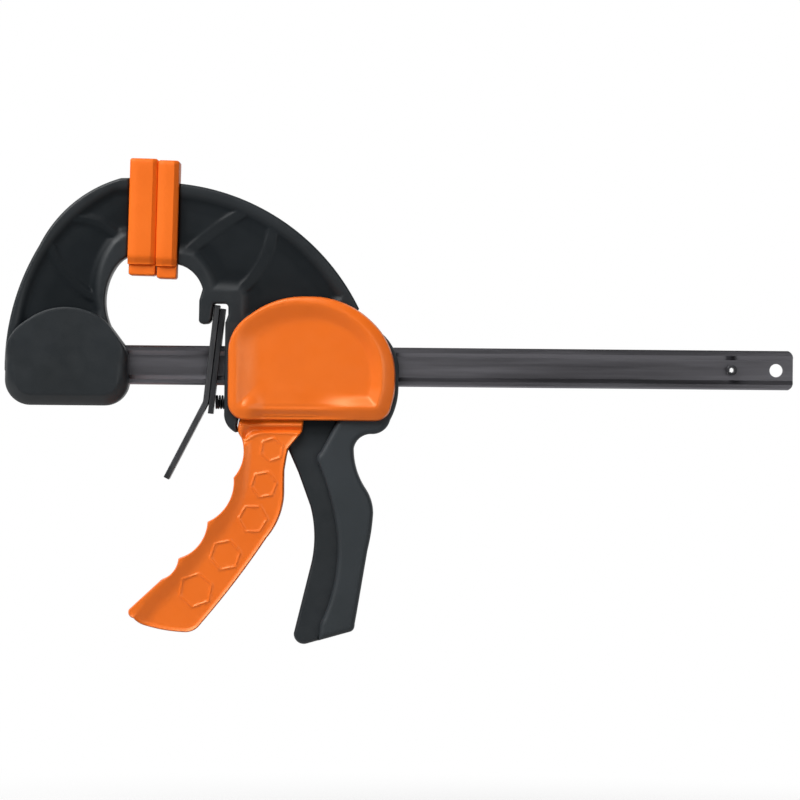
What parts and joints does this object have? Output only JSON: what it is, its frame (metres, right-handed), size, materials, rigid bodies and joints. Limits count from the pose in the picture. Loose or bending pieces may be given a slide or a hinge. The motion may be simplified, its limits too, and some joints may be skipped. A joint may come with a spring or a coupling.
{
  "type": "quick release bar clamp",
  "caption": "One-handed bar clamp: a fixed jaw on a steel bar, and a sliding jaw driven by a trigger and freed by a finger lever, with soft pads.",
  "frame": {"origin": "centre of the fixed pad's clamping face, with the jaws closed", "axes": "+X along the bar to its free end, +Z from the bar to the jaw tips, +Y across the clamp"},
  "size_m": [0.3816, 0.0384, 0.2341],
  "materials": {
    "bar_steel": "satin, drawn",
    "pin_steel": "satin",
    "dark_plastic": "satin moulded",
    "grip_plastic": "satin moulded",
    "orange_plastic": "semi gloss moulded",
    "orange_pad": "satin soft",
    "lever_steel": "dark oxide",
    "plate_steel": "hardened",
    "spring_steel": "drawn wire"
  },
  "bodies": {
    "fixed_frame": {"bar": "bar_steel", "bar_stop_pin": "pin_steel", "fixed_jaw": "dark_plastic", "fixed_jaw_pins": "pin_steel", "fixed_pad": "orange_pad"},
    "sliding_head": {"sliding_jaw": "dark_plastic", "cover_front": "orange_plastic", "cover_rear": "orange_plastic", "cover_screws": "pin_steel", "moving_pad": "orange_pad", "trigger_pin": "pin_steel", "drive_spring": "spring_steel", "brake_spring": "spring_steel"},
    "trigger_body": {"trigger": "orange_plastic"},
    "drive_plates": {"drive_plate_1": "plate_steel", "drive_plate_2": "plate_steel", "drive_plate_3": "plate_steel"},
    "release_lever_body": {"release_lever": "lever_steel"},
    "brake_plate_body": {"brake_plate": "plate_steel"}
  },
  "joints": [
    {"name": "jaw_slide", "type": "slide", "parent": "fixed_frame", "child": "sliding_head", "axis": [1, 0, 0], "range_m": [0, 0.158]},
    {"name": "trigger_pivot", "type": "hinge", "parent": "sliding_head", "child": "trigger_body", "pos_m": [0.0574, 0, -0.0515], "axis": [0, -1, 0], "range_deg": [0, 13], "stiffness_Nm_per_rad": 1.5, "springref_deg": -11.46},
    {"name": "plate_slide", "type": "slide", "parent": "sliding_head", "child": "drive_plates", "axis": [1, 0, 0], "range_m": [0, 0.0046], "deforming": ["drive_spring"]},
    {"name": "release_pivot", "type": "hinge", "parent": "sliding_head", "child": "release_lever_body", "pos_m": [0.0295, 0, -0.044], "axis": [0, -1, 0], "range_deg": [0, 5.2], "stiffness_Nm_per_rad": 0.5, "springref_deg": -11.46},
    {"name": "brake_tilt", "type": "hinge", "parent": "sliding_head", "child": "brake_plate_body", "pos_m": [0.0323, 0, -0.0449], "axis": [0, -1, 0], "range_deg": [0, 5.3], "deforming": ["brake_spring"]}
  ],
  "couplings": [
    {"joint": "plate_slide", "follows": "trigger_pivot", "m_per_rad": 0.0196},
    {"joint": "brake_tilt", "follows": "release_pivot", "ratio": 1}
  ]
}
